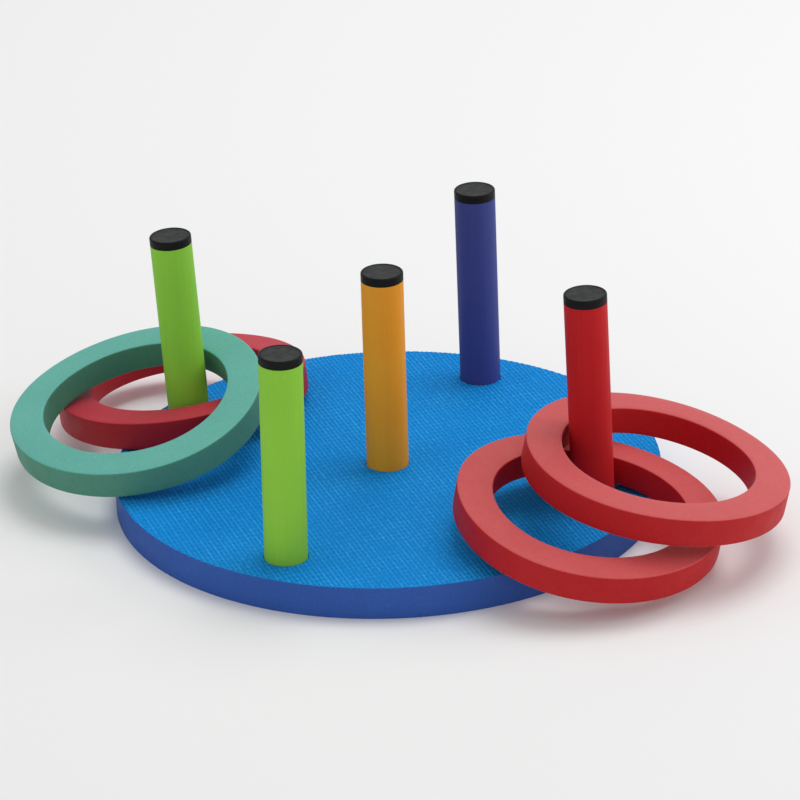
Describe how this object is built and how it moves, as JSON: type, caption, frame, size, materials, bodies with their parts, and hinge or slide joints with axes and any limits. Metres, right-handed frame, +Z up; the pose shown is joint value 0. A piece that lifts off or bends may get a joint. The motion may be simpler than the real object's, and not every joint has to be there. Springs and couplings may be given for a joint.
{
  "type": "ring toss set",
  "caption": "Round foam base with push-in capped posts and soft foam rings tossed over them, for a lawn or indoor throwing game.",
  "frame": {"origin": "centre of the round base's underside, on the floor", "axes": "+Z up, square to the base; +X to the right and +Y away from a player who throws from the -Y side"},
  "size_m": [0.7039, 0.5442, 0.2325],
  "materials": {
    "blue_foam": "matte, fine embossed grid on top",
    "red_foam": "matte, smooth cut foam",
    "teal_foam": "matte, smooth cut foam",
    "orange_tube": "satin",
    "blue_tube": "satin",
    "green_tube": "satin",
    "red_tube": "satin",
    "black_cap": "matte moulded"
  },
  "bodies": {
    "base": {"base_mat": "blue_foam"},
    "orange_post": {"orange_post_tube": "orange_tube", "orange_post_top_cap": "black_cap", "orange_post_foot_cap": "black_cap"},
    "blue_post": {"blue_post_tube": "blue_tube", "blue_post_top_cap": "black_cap", "blue_post_foot_cap": "black_cap"},
    "left_green_post": {"left_green_post_tube": "green_tube", "left_green_post_top_cap": "black_cap", "left_green_post_foot_cap": "black_cap"},
    "front_green_post": {"front_green_post_tube": "green_tube", "front_green_post_top_cap": "black_cap", "front_green_post_foot_cap": "black_cap"},
    "red_post": {"red_post_tube": "red_tube", "red_post_top_cap": "black_cap", "red_post_foot_cap": "black_cap"},
    "left_red_ring": {"left_red_ring": "red_foam"},
    "teal_ring": {"teal_ring": "teal_foam"},
    "lower_red_ring": {"lower_red_ring": "red_foam"},
    "upper_red_ring": {"upper_red_ring": "red_foam"}
  },
  "joints": [
    {"name": "orange_post_pull", "type": "slide", "parent": "base", "child": "orange_post", "axis": [0, 0, 1], "range_m": [0, 0.12]},
    {"name": "blue_post_pull", "type": "slide", "parent": "base", "child": "blue_post", "axis": [-0.0105, 0, 0.9999], "range_m": [-0.003, 0.12]},
    {"name": "left_green_post_pull", "type": "slide", "parent": "base", "child": "left_green_post", "axis": [-0.0506, 0, 0.9987], "range_m": [-0.003, 0.12]},
    {"name": "front_green_post_pull", "type": "slide", "parent": "base", "child": "front_green_post", "axis": [0.0122, 0, 0.9999], "range_m": [-0.004, 0.12]},
    {"name": "red_post_pull", "type": "slide", "parent": "base", "child": "red_post", "axis": [-0.0297, 0, 0.9996], "range_m": [-0.011, 0.12]},
    {"name": "left_red_ring_lift", "type": "slide", "parent": "base", "child": "left_red_ring", "axis": [-0.0506, 0, 0.9987], "range_m": [0, 0.24]},
    {"name": "teal_ring_lift", "type": "slide", "parent": "left_red_ring", "child": "teal_ring", "axis": [-0.0506, 0, 0.9987], "range_m": [0, 0.24]},
    {"name": "lower_red_ring_lift", "type": "slide", "parent": "base", "child": "lower_red_ring", "axis": [-0.0297, 0, 0.9996], "range_m": [0, 0.24]},
    {"name": "upper_red_ring_lift", "type": "slide", "parent": "lower_red_ring", "child": "upper_red_ring", "axis": [-0.0297, 0, 0.9996], "range_m": [0, 0.24]}
  ]
}
